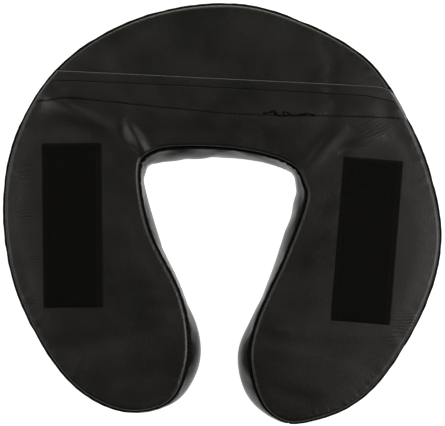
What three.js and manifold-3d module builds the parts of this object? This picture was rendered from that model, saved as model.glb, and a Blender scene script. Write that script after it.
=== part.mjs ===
// A horseshoe face-rest cushion for a massage table: a crowned foam core inside a sewn leatherette cover.
// It lies face down, so the back of the cover, with its lap closure and its two hook strips, is on top.
// Millimetres, +Z up, +Y from the two arm tips to the closed end, origin on the ground under the middle.
import * as THREE from 'three';
import Module from 'manifold-3d';
import { mergeVertices } from 'three/addons/utils/BufferGeometryUtils.js';

const wasm = await Module();
wasm.setup();

// Driving dimensions
const height = 70;          // ground to the top of the lap's stitches
const skin = 1;             // thickness of the leatherette
const gap = 0.3;            // clearance between pieces that touch
const tape = 0.8;           // thickness of each closure tape, pressed flat
const thread = 0.5;         // thickness of the sewing thread

const faceSeamZ = 18;       // height of the seam between face panel and boxing
const backSeamZ = 61.5;     // height of the seam between boxing and back panel
const faceReach = 18;       // how far the face's round edge reaches in from the seam
const backReach = 8;        // the same on the back, which is nearly flat

const stripWidth = 39.5;     // hook strips on the back
const stripLength = 110;
const stripThickness = 1.6; // to the tips of the hooks
const stripBase = 0.8;      // the woven base, which shows as a hookless border
const stripBorder = 3;
const stripMargin = 2;      // stitch line to the edge of its strip
const strips = [
  { side: 'left', x: -100.4, y: -15.3, lean: 3.6 },
  { side: 'right', x: 97.3, y: -15.3, lean: -1.6 },
];

const lapFoldY = 88;        // folded edge of the lap
const lapUpperStitchY = 81.5;
const lapLowerStitchY = 67;
const lapRootY = 62;        // where the lap leaves the lower back panel
const lapEdgeLift = 2;      // the lap's ends lie over the cap panel's edge, where all are sewn in
const tapeWidth = 16;       // closure tapes, held by the lap's two stitch lines
const tapeY = (lapUpperStitchY + lapLowerStitchY) / 2;
const tapeLength = 196;
const upperStitchLength = 206;
const lowerStitchLength = 222;

// Heights that follow from them, from the top down
const lapTopZ = height - thread - gap;
const hookTapeZ = lapTopZ - skin - gap - tape;
const loopTapeZ = hookTapeZ - gap - tape;
const backTopZ = loopTapeZ - gap;

// The sewing line, seen from above and clockwise from the middle of the closed end: x, y, and how far the
// boxing stands out there halfway up. It is hand-cut and hand-stuffed, so its two arms differ.
const seamPoints = [
  [0, 138.6, 2], [45, 129.4, 2], [92, 105, 2], [121.1, 66.1, 2], [138.4, 28.6, 2], [147, -13, 2],
  [139, -55.5, 2], [111.8, -107.4, 2], [92.6, -126.2, 2], [69.4, -137, 2], [51.8, -140.4, 2],
  [38, -134.2, 2.2], [29.4, -121.8, 8], [22.6, -96.5, 7.9], [25.2, -76.5, 2.2], [32.6, -55, 0.8],
  [43.6, -27.8, 4.2], [55.2, 13, 7.6], [52.7, 20.7, 2.2], [48.2, 29.2, 3.2], [37.5, 35.4, 3.6],
  [6, 41.2, 4.6], [-37.5, 40, 8.8], [-48.9, 36.7, 6.5], [-55.6, 31.4, 7], [-57.3, 22.5, 0.6],
  [-49.4, -13.9, 3.8], [-25.4, -58.5, -1.5], [-18.8, -83, 6], [-18.7, -106, 8.2], [-28.8, -130.1, 2.8],
  [-56.5, -138.4, 2], [-90.6, -125.2, 2], [-123.2, -85.8, 2], [-142.4, -40.2, 2], [-146.9, 16.1, 2],
  [-134.7, 59.6, 2], [-108.4, 96.9, 2], [-58.9, 127.4, 2],
];
const rightTip = 10;        // numbers of the points at the two arm tips
const leftTip = 31;
const stepsPerPoint = 3;

// ---------------------------------------------------------------- the seam line and its cross-sections

const seamCurve = new THREE.CatmullRomCurve3(
  seamPoints.map(([x, y]) => new THREE.Vector3(x, y, 0)), true, 'centripetal');

// A station is a place on the seam line: its point, its outward direction and the boxing's bulge there.
const stations = Array.from({ length: seamPoints.length * stepsPerPoint }, (_, i) => {
  const place = i / stepsPerPoint;
  const t = place / seamPoints.length;
  const tangent = seamCurve.getTangent(t);
  const [before, after] = [0, 1].map((step) => seamPoints[(Math.floor(place) + step) % seamPoints.length][2]);
  return {
    point: seamCurve.getPoint(t),
    outward: new THREE.Vector3(-tangent.y, tangent.x, 0),
    bulge: THREE.MathUtils.lerp(before, after, place % 1),
  };
});

// A profile is a list of { inset, z, swell }: how far inside the seam line, how high, and how much of the
// boxing's bulge it takes.
function sectionAt(station, profile) {
  return profile.map(({ inset, z, swell = 0 }) => {
    const out = swell * station.bulge - inset;
    return station.point.clone().addScaledVector(station.outward, out).setZ(z);
  });
}

// The round edge of a panel, from the seam to its flat middle. rise is negative on the face, and depth is
// measured down from the cover's outer surface.
function crown(seamZ, rise, reach, depth, steps = 4) {
  return Array.from({ length: steps + 1 }, (_, i) => {
    const angle = (i / steps) * Math.PI / 2;
    return {
      inset: depth + (reach - depth) * (1 - Math.cos(angle)),
      z: seamZ + (rise - Math.sign(rise) * depth) * Math.sin(angle),
    };
  });
}

// The boxing from the face seam to the back seam.
function wall(depth, steps = 4) {
  const low = faceSeamZ + gap;
  const high = backSeamZ - gap;
  return Array.from({ length: steps + 1 }, (_, i) => {
    const share = i / steps;
    return { inset: depth, z: low + (high - low) * share, swell: Math.sin(share * Math.PI) };
  });
}

// ---------------------------------------------------------------- closed bodies from cross-sections

function signedVolume(points, indices) {
  let six = 0;
  for (let i = 0; i < indices.length; i += 3) {
    const [a, b, c] = [0, 1, 2].map((k) => points[indices[i + k]]);
    six += a.dot(b.clone().cross(c));
  }
  return six / 6;
}

// Joins cross-sections into one closed body. Where the path closes, each open section's two rims get a flat
// lid; where the path is open, the section closes on itself and its two ends get a lid each.
function loft(sections, closedPath, closedSection, lid = null) {
  const count = sections.length;
  const size = sections[0].length;
  const points = sections.flat();
  const at = (i, j) => (i % count) * size + (j % size);
  const indices = [];
  for (let i = 0; i < (closedPath ? count : count - 1); i += 1) {
    for (let j = 0; j < (closedSection ? size : size - 1); j += 1) {
      indices.push(at(i, j), at(i + 1, j), at(i + 1, j + 1));
      indices.push(at(i, j), at(i + 1, j + 1), at(i, j + 1));
    }
  }
  const addLid = (outline, first, last) => {
    const wound = THREE.ShapeUtils.isClockWise(outline);
    THREE.ShapeUtils.triangulateShape(outline, []).forEach(([a, b, c]) => {
      indices.push(...(wound ? [a, b, c] : [c, b, a]).map(first));
      indices.push(...(wound ? [c, b, a] : [a, b, c]).map(last));
    });
  };
  if (!closedSection) {
    addLid(sections.map((s) => new THREE.Vector2(s[0].x, s[0].y)), (i) => at(i, 0), (i) => at(i, size - 1));
  } else if (!closedPath) {
    addLid(lid, (j) => at(count - 1, j), (j) => at(0, j));
  }
  if (signedVolume(points, indices) < 0) {
    indices.reverse();
  }
  const geometry = new THREE.BufferGeometry();
  geometry.setAttribute('position', new THREE.Float32BufferAttribute(points.flatMap((p) => p.toArray()), 3));
  geometry.setIndex(indices);
  return geometry;
}

// A body that fills the whole outline, open profile up one side and flat on both rims.
function fullBody(profile) {
  return loft(stations.map((s) => sectionAt(s, profile)), true, false);
}

// A thin panel between an outer profile and an inner one.
function panelBody(seamZ, rise, reach, seamLift = 0, lift = 0) {
  const outer = crown(seamZ + seamLift, rise + lift - seamLift, reach, 0);
  const inner = crown(seamZ + seamLift, rise + lift - seamLift, reach, skin);
  return fullBody([...inner.reverse(), ...outer]);
}

// A strip of boxing along the stations from one tip to the other.
function boxingBody(from, to) {
  const stretch = [];
  for (let i = from; i <= to; i += 1) {
    stretch.push(stations[i % stations.length]);
  }
  const profile = [...wall(skin), ...wall(0).reverse()];
  const lid = profile.map(({ inset, z }) => new THREE.Vector2(inset, z));
  return loft(stretch.map((s) => sectionAt(s, profile)), false, true, lid);
}

// Four corners of a thread's section, centred at one inset, height and swell.
function threadProfile(inset, z, swell = 0) {
  const r = thread / 2;
  return [[-r, 0], [0, r], [r, 0], [0, -r]].map(([a, b]) => ({ inset: inset + a, z: z + b, swell }));
}

function seamThreadBody(z) {
  return loft(stations.map((s) => sectionAt(s, threadProfile(-thread - gap, z))), true, true);
}

// ---------------------------------------------------------------- straight pieces

function boxBody(width, length, thickness, x, y, lowZ) {
  return new THREE.BoxGeometry(width, length, thickness).translate(x, y, lowZ + thickness / 2);
}

function rectangle(path, width, length) {
  path.moveTo(-width / 2, -length / 2);
  path.lineTo(width / 2, -length / 2);
  path.lineTo(width / 2, length / 2);
  path.lineTo(-width / 2, length / 2);
  path.closePath();
  return path;
}

// A line of thread sewn round a rectangle, with its middle at the origin and its lowest face at lowZ.
function stitchedRectangle(width, length, lowZ) {
  const shape = rectangle(new THREE.Shape(), width, length);
  shape.holes.push(rectangle(new THREE.Path(), width - 2 * thread, length - 2 * thread));
  return new THREE.ExtrudeGeometry(shape, { depth: thread, bevelEnabled: false }).translate(0, 0, lowZ);
}

// The thread up the seam that joins the two boxing strips at an arm tip.
function tipThreadBody(tip) {
  const station = stations[tip * stepsPerPoint];
  const along = new THREE.Vector3(-station.outward.y, station.outward.x, 0).multiplyScalar(thread / 2);
  const sections = wall(-gap).map(({ inset, z, swell }) => {
    const near = sectionAt(station, [{ inset, z, swell }])[0];
    const far = sectionAt(station, [{ inset: inset - thread, z, swell }])[0];
    return [near.clone().sub(along), near.clone().add(along), far.clone().add(along), far.clone().sub(along)];
  });
  const lid = rectangle(new THREE.Path(), thread, thread).getPoints().slice(0, 4);
  return loft(sections, false, true, lid);
}

// ---------------------------------------------------------------- cutting and joining

function solid(geometry) {
  const bare = geometry.clone();
  bare.deleteAttribute('normal');
  bare.deleteAttribute('uv');
  const merged = mergeVertices(bare);
  return new wasm.Manifold(new wasm.Mesh({
    numProp: 3,
    vertProperties: merged.attributes.position.array,
    triVerts: new Uint32Array(merged.index.array),
  }));
}

function geometryOf(body) {
  const { vertProperties, triVerts } = body.getMesh();
  const geometry = new THREE.BufferGeometry();
  geometry.setAttribute('position', new THREE.BufferAttribute(vertProperties, 3));
  geometry.setIndex(new THREE.BufferAttribute(triVerts, 1));
  return geometry;
}

const farEnd = 200;         // past both ends of the cushion

// A block across the whole cushion between two heights in Y.
function slab(fromY, toY) {
  return solid(boxBody(2 * farEnd, toY - fromY, 2 * farEnd, 0, (fromY + toY) / 2, -farEnd));
}

// The lower back panel: both arms, a riser, and the lap that lies over the cap panel.
function backPanelBody() {
  const lapLift = lapTopZ - backTopZ;
  const arms = solid(panelBody(backSeamZ, backTopZ - backSeamZ, backReach));
  const lap = solid(panelBody(backSeamZ, backTopZ - backSeamZ, backReach, lapEdgeLift, lapLift));
  const riserBlock = solid(fullBody([
    ...crown(backSeamZ, backTopZ - backSeamZ, backReach, skin).reverse(),
    ...crown(backSeamZ + lapEdgeLift, lapTopZ - backSeamZ - lapEdgeLift, backReach, 0),
  ]));
  const riser = riserBlock.intersect(slab(lapRootY - skin, lapRootY));
  return geometryOf(arms.intersect(slab(-farEnd, lapRootY)).add(riser)
    .add(lap.intersect(slab(lapRootY - skin, lapFoldY))));
}

function capPanelBody() {
  const whole = solid(panelBody(backSeamZ, backTopZ - backSeamZ, backReach));
  return geometryOf(whole.intersect(slab(lapRootY + gap, farEnd)));
}

// ---------------------------------------------------------------- materials and the assembly

const finishes = {
  leatherette: { color: 0x1d1c1c, roughness: 0.42, metalness: 0 },
  foam: { color: 0xe9e2c4, roughness: 0.95, metalness: 0 },
  hook: { color: 0x0c0c0b, roughness: 0.95, metalness: 0 },
  loop: { color: 0x141414, roughness: 1, metalness: 0 },
  sewing: { color: 0x0a0a0a, roughness: 0.7, metalness: 0 },
};

const group = new THREE.Group();

function add(name, finish, geometry, parent = group) {
  const mesh = new THREE.Mesh(geometry, new THREE.MeshStandardMaterial(finishes[finish]));
  mesh.name = name;
  parent.add(mesh);
}

// The core and the cover's panels
const inside = skin + gap;
add('foam_core', 'foam', fullBody([
  ...crown(faceSeamZ, -faceSeamZ, faceReach, inside).reverse(),
  ...wall(inside).slice(1, -1),
  ...crown(backSeamZ, backTopZ - backSeamZ, backReach, inside),
]));
add('face_panel', 'leatherette', panelBody(faceSeamZ, -faceSeamZ, faceReach));
add('back_panel', 'leatherette', backPanelBody());
add('back_cap_panel', 'leatherette', capPanelBody());

// The two strips of boxing meet at the arm tips with a small gap, where they are sewn together
const tipGapStations = 1;
add('inner_boxing', 'leatherette',
  boxingBody(rightTip * stepsPerPoint + tipGapStations, leftTip * stepsPerPoint - tipGapStations));
add('outer_boxing', 'leatherette',
  boxingBody(leftTip * stepsPerPoint, rightTip * stepsPerPoint + stations.length));

// Seam threads
add('back_seam_thread', 'sewing', seamThreadBody(backSeamZ));
add('face_seam_thread', 'sewing', seamThreadBody(faceSeamZ));
add('left_tip_seam_thread', 'sewing', tipThreadBody(leftTip));
add('right_tip_seam_thread', 'sewing', tipThreadBody(rightTip));

// The closure under the lap, and the lap's two stitch lines
add('closure_loop_tape', 'loop', boxBody(tapeLength, tapeWidth, tape, 0, tapeY, loopTapeZ));
add('closure_hook_tape', 'hook', boxBody(tapeLength, tapeWidth, tape, 0, tapeY, hookTapeZ));
add('lap_upper_stitch', 'sewing',
  boxBody(upperStitchLength, thread, thread, 0, lapUpperStitchY, lapTopZ + gap));
add('lap_lower_stitch', 'sewing',
  boxBody(lowerStitchLength, thread, thread, 0, lapLowerStitchY, lapTopZ + gap));

// Hook strips, each with the thread that is sewn round its border
function hookStripBody() {
  const base = boxBody(stripWidth, stripLength, stripBase, 0, 0, 0);
  const hooks = boxBody(stripWidth - 2 * stripBorder, stripLength - 2 * stripBorder, stripThickness, 0, 0, 0);
  return geometryOf(solid(base).add(solid(hooks)));
}

for (const { side, x, y, lean } of strips) {
  const place = new THREE.Group();
  place.position.set(x, y, backTopZ + gap);
  place.rotation.z = THREE.MathUtils.degToRad(lean);
  group.add(place);
  add(`${side}_hook_strip`, 'hook', hookStripBody(), place);
  add(`${side}_strip_stitch`, 'sewing',
    stitchedRectangle(stripWidth - 2 * stripMargin, stripLength - 2 * stripMargin, stripBase + gap), place);
}

export default group;
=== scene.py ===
"""The looks of a horseshoe face-rest cushion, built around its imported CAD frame.

The cover is simulated once as a coarse closed balloon held at its seams. Each visible panel is then a
fine mesh laid on that balloon, with its seams, lap, stitches and creases. Plan sizes are in millimetres,
as in the CAD, and become metres when a mesh is made.
"""

import math

import bpy
import numpy as np
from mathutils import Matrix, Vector, geometry
from mathutils.bvhtree import BVHTree


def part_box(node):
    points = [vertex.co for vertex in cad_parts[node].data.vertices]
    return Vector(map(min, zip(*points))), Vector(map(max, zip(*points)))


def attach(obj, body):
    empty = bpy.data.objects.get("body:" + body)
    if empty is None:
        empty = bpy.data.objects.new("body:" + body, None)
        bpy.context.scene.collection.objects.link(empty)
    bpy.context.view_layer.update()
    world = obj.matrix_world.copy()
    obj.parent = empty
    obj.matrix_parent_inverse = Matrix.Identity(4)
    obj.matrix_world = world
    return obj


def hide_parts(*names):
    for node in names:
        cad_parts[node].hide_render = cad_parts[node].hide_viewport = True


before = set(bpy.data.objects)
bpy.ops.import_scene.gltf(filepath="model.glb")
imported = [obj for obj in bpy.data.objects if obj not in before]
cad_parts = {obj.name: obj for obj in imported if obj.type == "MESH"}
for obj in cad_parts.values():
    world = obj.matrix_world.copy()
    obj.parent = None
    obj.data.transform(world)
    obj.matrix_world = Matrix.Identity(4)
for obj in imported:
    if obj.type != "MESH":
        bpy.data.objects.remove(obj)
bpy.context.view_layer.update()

MM = 0.001

# -------- sizes, in millimetres

# The sewing line seen from above, clockwise from the middle of the closed end, as in the CAD: x, y, and how
# far the boxing stands out there halfway up.
SEAM_POINTS = [
    (0, 138.6, 2), (45, 129.4, 2), (92, 105, 2), (121.1, 66.1, 2), (138.4, 28.6, 2), (147, -13, 2),
    (139, -55.5, 2), (111.8, -107.4, 2), (92.6, -126.2, 2), (69.4, -137, 2), (51.8, -140.4, 2),
    (38, -134.2, 2.2), (29.4, -121.8, 8), (22.6, -96.5, 7.9), (25.2, -76.5, 2.2), (32.6, -55, 0.8),
    (43.6, -27.8, 4.2), (55.2, 13, 7.6), (52.7, 20.7, 2.2), (48.2, 29.2, 3.2), (37.5, 35.4, 3.6),
    (6, 41.2, 4.6), (-37.5, 40, 8.8), (-48.9, 36.7, 6.5), (-55.6, 31.4, 7), (-57.3, 22.5, 0.6),
    (-49.4, -13.9, 3.8), (-25.4, -58.5, -1.5), (-18.8, -83, 6), (-18.7, -106, 8.2), (-28.8, -130.1, 2.8),
    (-56.5, -138.4, 2), (-90.6, -125.2, 2), (-123.2, -85.8, 2), (-142.4, -40.2, 2), (-146.9, 16.1, 2),
    (-134.7, 59.6, 2), (-108.4, 96.9, 2), (-58.9, 127.4, 2),
]
RIGHT_TIP, LEFT_TIP = 10, 31  # places on the seam line, counted in its points


def node_z(node, end):
    """The lowest (0) or highest (1) z of a CAD node, in millimetres."""
    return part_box(node)[end].z / MM


FACE_SEAM_Z = node_z("face_panel", 1)
BACK_SEAM_Z = node_z("back_cap_panel", 0)
BACK_TOP_Z = node_z("back_cap_panel", 1)
LAP_TOP_Z = node_z("back_panel", 1)
FACE_REACH = 18.0  # how far the face's round edge reaches in from the seam
EDGE_REACH, EDGE_SHARE = 3.0, 0.86  # the back's tight edge, and its share of the rise
EASY_REACH = 26.0  # how far the rest of the rise takes

# The lap closure: y of its folded edge and its two stitch lines along x.
FOLD_LINE = [(-150, 86.9), (-112, 87.8), (2, 88.2), (90, 88.3), (104.7, 86.8), (113, 83.6), (150, 66)]
UPPER_STITCH = [(-150, 79.6), (-102, 81.4), (0, 81.9), (81, 81.6), (96, 80.8), (114, 77.7), (150, 69)]
LOWER_STITCH = [(-150, 64.0), (-124, 67.0), (-101, 69.4), (-45, 66.7), (4, 64.8), (39, 65.6),
                (78, 67.1), (118, 67.5), (150, 65.5)]
CAP_TUCK_Y = 62.5  # where the cap panel ends under the lap

STRIPS = [("left", 3.6), ("right", -1.6)]  # each hook strip's lean, in degrees
STRIP_WIDTH, STRIP_LENGTH = 39.5, 110.0


# -------- the seam line

SPLINE_STEPS = 40  # samples between two points of the sewing line
FINE_SAMPLES = 1120  # samples round the panels' edges


def run_along(path):
    """The distance along a path at each of its points."""
    return np.concatenate([[0], np.cumsum(np.linalg.norm(np.diff(path, axis=0), axis=1))])


def unit(rows):
    """Each row as a unit vector."""
    return rows / np.linalg.norm(rows, axis=1)[:, None]


def closed_spline(points, steps):
    """Centripetal Catmull-Rom spline through points, steps to a span, and each sample's place on it."""
    p = np.array(points, float)[:, :2]
    n = len(p)
    out, places = [], []
    for i in range(n):
        a, b, c, d = (p[(i + k) % n] for k in (-1, 0, 1, 2))
        before, span, after = (math.sqrt(np.linalg.norm(v)) for v in (b - a, c - b, d - c))
        start = ((b - a) / before - (c - a) / (before + span) + (c - b) / span) * span
        end = ((c - b) / span - (d - b) / (span + after) + (d - c) / after) * span
        t = np.arange(steps)[:, None] / steps
        out.append((2 * t**3 - 3 * t**2 + 1) * b + (t**3 - 2 * t**2 + t) * start
                   + (-2 * t**3 + 3 * t**2) * c + (t**3 - t**2) * end)
        places.append(i + t[:, 0])
    return np.concatenate(out), np.concatenate(places)


def evenly(points, places, count):
    """count samples at even distances round a closed line, with their places."""
    p = np.vstack([points, points[:1]])
    s = np.append(places, len(SEAM_POINTS))
    run = run_along(p)
    at = np.linspace(0, run[-1], count, endpoint=False)
    return np.stack([np.interp(at, run, p[:, k]) for k in (0, 1)], axis=1), np.interp(at, run, s)


def outward_normals(points):
    """Unit normals out of a line that runs clockwise."""
    along = unit(np.roll(points, -1, axis=0) - np.roll(points, 1, axis=0))
    return np.stack([-along[:, 1], along[:, 0]], axis=1)


class Ring:
    """The seam line as count even samples: points, normals, places, bulges and the step between two."""

    def __init__(self, count):
        self.points, self.places = evenly(*closed_spline(SEAM_POINTS, SPLINE_STEPS), count)
        self.normals = outward_normals(self.points)
        bulges = [point[2] for point in SEAM_POINTS + SEAM_POINTS[:1]]
        self.bulges = np.interp(self.places, range(len(bulges)), bulges)
        for _ in range(count // 60):  # more samples need more passes to be as smooth
            self.bulges = (np.roll(self.bulges, 1) + self.bulges * 2 + np.roll(self.bulges, -1)) / 4
        self.step = np.linalg.norm(self.points[1] - self.points[0])


FINE = Ring(FINE_SAMPLES)


def nearest_on(line, points, chunk=4000):
    """Each point's distance to the nearest of the line's samples, and that sample's number."""
    distances, numbers = [], []
    for start in range(0, len(points), chunk):
        gaps = np.linalg.norm(points[start:start + chunk, None] - line[None], axis=2)
        numbers.append(gaps.argmin(1))
        distances.append(gaps.min(1))
    return np.concatenate(distances), np.concatenate(numbers)


def seam_distance(points):
    """Distance from each plan point to the seam line, and the nearest sample of FINE."""
    return nearest_on(FINE.points, points)


# -------- plan meshes

def inside(polygon, points):
    """Whether each point is inside the closed polygon."""
    a, b = polygon, np.roll(polygon, -1, axis=0)
    result = np.zeros(len(points), bool)
    for (x0, y0), (x1, y1) in zip(a, b):
        if y0 != y1:
            crosses = (points[:, 1] < y0) != (points[:, 1] < y1)
            result ^= crosses & (points[:, 0] < x0 + (points[:, 1] - y0) * (x1 - x0) / (y1 - y0))
    return result


LINE_ROWS = [-2.1, -1.4, -0.8, -0.35, 0.0, 0.35, 0.8, 1.4, 2.1]  # rows either side of a stitch line
ROW_CLEAR = 0.93  # a row's points keep this share of its inset from every part of the edge
EDGE_CLEAR, LINE_CLEAR = 0.6, 0.55  # the lattice's gap to the last row and to a line's rows, in spacings
WELD = 1e-6  # points closer than this become one


def plan_mesh(boundary, spacing, insets, lines=()):
    """Triangles over the area inside boundary: rows along its edge and along lines, then an even lattice."""
    normals = outward_normals(boundary)
    rows = []
    for inset in insets:
        row = boundary - normals * inset
        clear = nearest_on(boundary, row)[0] > inset * ROW_CLEAR
        rows.append(row[clear & inside(boundary, row)])
    low, high = boundary.min(0), boundary.max(0)
    xs = np.arange(low[0], high[0], spacing)
    ys = np.arange(low[1], high[1], spacing * math.sqrt(0.75))
    x, y = np.meshgrid(xs, ys)
    x = x + (np.arange(len(ys)) % 2)[:, None] * spacing / 2
    lattice = np.stack([x.ravel(), y.ravel()], axis=1)
    lattice = lattice[inside(boundary, lattice)]
    lattice = lattice[nearest_on(boundary, lattice)[0] > insets[-1] + spacing * EDGE_CLEAR]
    for line in lines:
        edge = boundary - normals * insets[1]
        along = np.vstack([line + [0, off] for off in LINE_ROWS])
        along = along[inside(edge, along)]
        rows.append(along)
        lattice = lattice[nearest_on(along, lattice)[0] > spacing * LINE_CLEAR]
    points = np.vstack([boundary, *rows, lattice])
    outline = list(range(len(boundary)))
    verts, _, faces, *_ = geometry.delaunay_2d_cdt([Vector(p) for p in points], [], [outline], 1, WELD)
    return np.array([v[:] for v in verts]), [list(f) for f in faces]


def clipped_outline(ring, keep_below, line):
    """The part of the seam line on one side of a line across it, closed along that line."""
    limit = line_y(line, ring.points[:, 0])
    kept = ring.points[:, 1] < limit if keep_below else ring.points[:, 1] > limit
    first = int(np.flatnonzero(kept & ~np.roll(kept, 1))[0])
    order = [(first + k) % len(kept) for k in range(len(kept)) if kept[(first + k) % len(kept)]]
    arc = ring.points[order]
    count = int(abs(arc[-1, 0] - arc[0, 0]) / ring.step)
    xs = np.linspace(arc[-1, 0], arc[0, 0], count + 2)[1:-1]
    edge = np.stack([xs, line_y(line, xs)], axis=1)
    return np.vstack([arc, edge])


# -------- mesh objects

def make_object(name, points, faces, material=None, smooth=True):
    """A mesh object from points in millimetres."""
    mesh = bpy.data.meshes.new(name)
    mesh.from_pydata((np.asarray(points) * MM).tolist(), [], [list(map(int, f)) for f in faces])
    mesh.update()
    mesh.polygons.foreach_set("use_smooth", [smooth] * len(mesh.polygons))
    obj = bpy.data.objects.new(name, mesh)
    bpy.context.scene.collection.objects.link(obj)
    if material:
        mesh.materials.append(material)
    return obj


def facing(points, faces, up):
    """The faces wound so that the first, and with it all, face up or down."""
    a, b, c = (points[faces[0][k]] for k in range(3))
    if (np.cross(b - a, c - a)[2] > 0) != up:
        return [f[::-1] for f in faces]
    return faces


def apply_modifiers(obj):
    """Replaces obj's mesh by its evaluated one."""
    depsgraph = bpy.context.evaluated_depsgraph_get()
    mesh = bpy.data.meshes.new_from_object(obj.evaluated_get(depsgraph))
    obj.modifiers.clear()
    obj.data = mesh


# -------- the balloon and its cloth simulation

def crown_height(distance, rise, reach):
    """Height above the seam of a panel's round edge and flat middle."""
    share = np.clip(1 - distance / reach, 0, 1)
    return rise * np.sqrt(1 - share**2)


def back_rise(distance):
    """The back's height above its seam: a tight edge, then a slow rise to the flat middle."""
    rise = BACK_TOP_Z - BACK_SEAM_Z
    return crown_height(distance, rise * EDGE_SHARE, EDGE_REACH) + crown_height(
        distance, rise * (1 - EDGE_SHARE), EASY_REACH)


BALLOON_SAMPLES, BALLOON_SPACING, BALLOON_ROW = 300, 4.5, 3.0  # round the seam, inside it, and its first row
BOXING_ROWS = 12
PUFF_FRAMES = 20
PUFF_CAP = np.array([0.5, 0.5, 0.9])  # the furthest that the simulation may move the cover


def balloon():
    """The whole cover as one coarse closed mesh, with its points in millimetres and its seam points."""
    ring = Ring(BALLOON_SAMPLES)
    plan, faces = plan_mesh(ring.points, BALLOON_SPACING, [BALLOON_ROW])
    distance = seam_distance(plan)[0]
    count, edge = len(plan), len(ring.points)
    back = np.column_stack([plan, BACK_SEAM_Z + back_rise(distance)])
    face = np.column_stack([plan, FACE_SEAM_Z - crown_height(distance, FACE_SEAM_Z, FACE_REACH)])
    back[:edge, 2], face[:edge, 2] = BACK_SEAM_Z, FACE_SEAM_Z
    rows = []
    for k in range(1, BOXING_ROWS):
        share = k / BOXING_ROWS
        out = ring.normals * (ring.bulges * math.sin(math.pi * share))[:, None]
        z = np.full(edge, FACE_SEAM_Z + (BACK_SEAM_Z - FACE_SEAM_Z) * share)
        rows.append(np.column_stack([ring.points + out, z]))
    points = np.vstack([back, face, *rows])
    up = facing(back, faces, True)
    quads = []
    starts = [count] + [2 * count + k * edge for k in range(BOXING_ROWS - 1)] + [0]
    for low, high in zip(starts, starts[1:]):
        for i in range(edge):
            j = (i + 1) % edge
            quads.append([low + i, high + i, high + j, low + j])
    down = [[count + i for i in f[::-1]] for f in up]
    seams = list(range(edge)) + [count + i for i in range(edge)]
    return points, up + down + quads, seams


def puffed(obj, points, seams):
    """Blows the balloon up like a stuffed cover, pinned at its seams, and returns its new points."""
    pins = obj.vertex_groups.new(name="seams")
    pins.add(seams, 1.0, "REPLACE")
    cloth = obj.modifiers.new("cloth", "CLOTH")
    settings = cloth.settings
    settings.quality = 6
    settings.mass = 0.3
    settings.tension_stiffness = settings.compression_stiffness = 12
    settings.shear_stiffness = 6
    settings.bending_stiffness = 1.2
    settings.use_pressure = True
    settings.uniform_pressure_force = 2.5
    settings.shrink_min = -0.025
    settings.vertex_group_mass = "seams"
    settings.effector_weights.gravity = 0
    cloth.point_cache.frame_start, cloth.point_cache.frame_end = 1, PUFF_FRAMES
    for number in range(1, PUFF_FRAMES + 1):
        bpy.context.scene.frame_set(number)
    evaluated = obj.evaluated_get(bpy.context.evaluated_depsgraph_get())
    moved = np.array([v.co for v in evaluated.data.vertices]) / MM
    obj.modifiers.clear()
    bpy.context.scene.frame_set(1)
    return points + PUFF_CAP * np.tanh((moved - points) / PUFF_CAP)


def cover_surface():
    """The simulated cover as a smooth surface to lay the panels on, and its coarse points and faces."""
    points, faces, seams = balloon()
    obj = make_object("cover_balloon", points, faces)
    points = puffed(obj, points, seams)
    obj.data.vertices.foreach_set("co", (points * MM).ravel())
    smooth = obj.modifiers.new("smooth", "SUBSURF")
    smooth.levels = smooth.render_levels = 2
    apply_modifiers(obj)
    mesh = obj.data
    tree = BVHTree.FromPolygons(
        [v.co / MM for v in mesh.vertices], [p.vertices[:] for p in mesh.polygons])
    bpy.data.objects.remove(obj)
    return tree, points, faces


COVER, BALLOON_POINTS, BALLOON_FACES = cover_surface()
FAR = 200.0  # a start outside the cushion for a ray


def dropped(tree, plan, way, missing):
    """Where a vertical ray over each plan point, going up (1) or down (-1), meets a surface."""
    heights = np.array(missing, float) * np.ones(len(plan))
    for i, (x, y) in enumerate(plan):
        hit = tree.ray_cast(Vector((x, y, -way * FAR)), Vector((0, 0, way)))[0]
        if hit is not None:
            heights[i] = hit.z
    return heights


# -------- relief on the panels

def bell(x, middle, width):
    """1 at the middle, falling smoothly to nearly nothing two widths away."""
    return np.exp(-((x - middle) / width) ** 2)


def ease(x):
    """0 to 1 smoothly as x goes from 0 to 1."""
    x = np.clip(x, 0, 1)
    return x * x * (3 - 2 * x)


PUCKER_PITCH, PUCKER_HEIGHT = 7.3, 0.08
STITCH_PITCH, STITCH_DIMPLE = 3.3, 0.05


def seam_relief(distance, places):
    """The puckers that the stitches pull into a panel's edge."""
    run = places * (FINE.step * len(FINE.points) / len(SEAM_POINTS))
    uneven = np.sin(run * 2 * math.pi / (PUCKER_PITCH * 3.7) + 1)
    wide = np.sin(run * 2 * math.pi / PUCKER_PITCH) * uneven * bell(distance, 3.5, 3.0)
    tight = np.sin(run * 2 * math.pi / STITCH_PITCH) * bell(distance, 1.6, 1.0)
    return PUCKER_HEIGHT * wide + STITCH_DIMPLE * tight


def open_spline(points, count):
    """count even samples of a smooth line through points."""
    p = np.array(points, float)
    p = np.vstack([2 * p[0] - p[1], p, 2 * p[-1] - p[-2]])
    out = []
    for i in range(1, len(p) - 2):
        t = np.linspace(0, 1, 30, endpoint=False)[:, None]
        a, b, c, d = p[i - 1:i + 3]
        out.append(0.5 * (2 * b + (c - a) * t + (2 * a - 5 * b + 4 * c - d) * t**2
                          + (3 * b - a - 3 * c + d) * t**3))
    p = np.vstack([*out, p[-2]])
    run = run_along(p)
    at = np.linspace(0, run[-1], count)
    return np.stack([np.interp(at, run, p[:, k]) for k in range(p.shape[1])], axis=1)


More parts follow.
